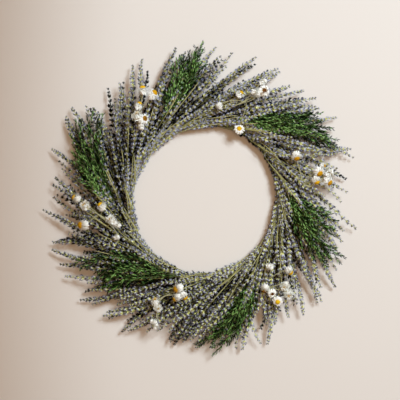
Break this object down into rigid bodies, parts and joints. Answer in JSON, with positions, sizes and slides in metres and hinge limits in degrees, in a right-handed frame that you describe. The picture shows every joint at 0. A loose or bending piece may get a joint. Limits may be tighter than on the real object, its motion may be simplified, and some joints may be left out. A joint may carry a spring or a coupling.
{
  "type": "lavender wreath",
  "caption": "Round dried wreath: overlapping lavender bunches, leafy sprigs and white everlasting daisies wired to a ring, all sweeping clockwise round an open middle.",
  "frame": {"origin": "on the axis of the wire ring, in the plane of the binding wires' undersides that the wreath lies on; this is the middle of the underside of the whole wreath to within about 2 mm", "axes": "+Z out of the wreath's face, away from the wall or table; +Y towards the top of the picture and +X towards its right. Seen from +Z, every stem sweeps clockwise and outwards"},
  "size_m": [0.5529, 0.553, 0.0652],
  "materials": {
    "ring": "satin",
    "tie": "satin",
    "lavender": "matte",
    "greenery": "matte",
    "daisy": "matte"
  },
  "bodies": {
    "root": {"wire_ring": "ring", "wire_tie_01": "tie", "wire_tie_02": "tie", "wire_tie_03": "tie", "wire_tie_04": "tie", "wire_tie_05": "tie", "wire_tie_06": "tie", "wire_tie_07": "tie", "wire_tie_08": "tie", "wire_tie_09": "tie", "wire_tie_10": "tie", "wire_tie_11": "tie", "wire_tie_12": "tie", "wire_tie_13": "tie", "wire_tie_14": "tie", "wire_tie_15": "tie", "wire_tie_16": "tie", "wire_tie_17": "tie", "wire_tie_18": "tie", "lavender_bunch_01": "lavender", "lavender_bunch_02": "lavender", "lavender_bunch_03": "lavender", "lavender_bunch_04": "lavender", "lavender_bunch_05": "lavender", "lavender_bunch_06": "lavender", "lavender_bunch_07": "lavender", "lavender_bunch_08": "lavender", "lavender_bunch_09": "lavender", "lavender_bunch_10": "lavender", "lavender_bunch_11": "lavender", "lavender_bunch_12": "lavender", "lavender_bunch_13": "lavender", "lavender_bunch_14": "lavender", "lavender_bunch_15": "lavender", "lavender_bunch_16": "lavender", "lavender_bunch_17": "lavender", "lavender_bunch_18": "lavender", "green_spray_1": "greenery", "green_spray_2": "greenery", "green_spray_3": "greenery", "green_spray_4": "greenery", "green_spray_5": "greenery", "green_spray_6": "greenery", "daisy_spray_1": "daisy", "daisy_spray_2": "daisy", "daisy_spray_3": "daisy", "daisy_spray_4": "daisy", "daisy_spray_5": "daisy", "daisy_spray_6": "daisy"}
  },
  "joints": []
}
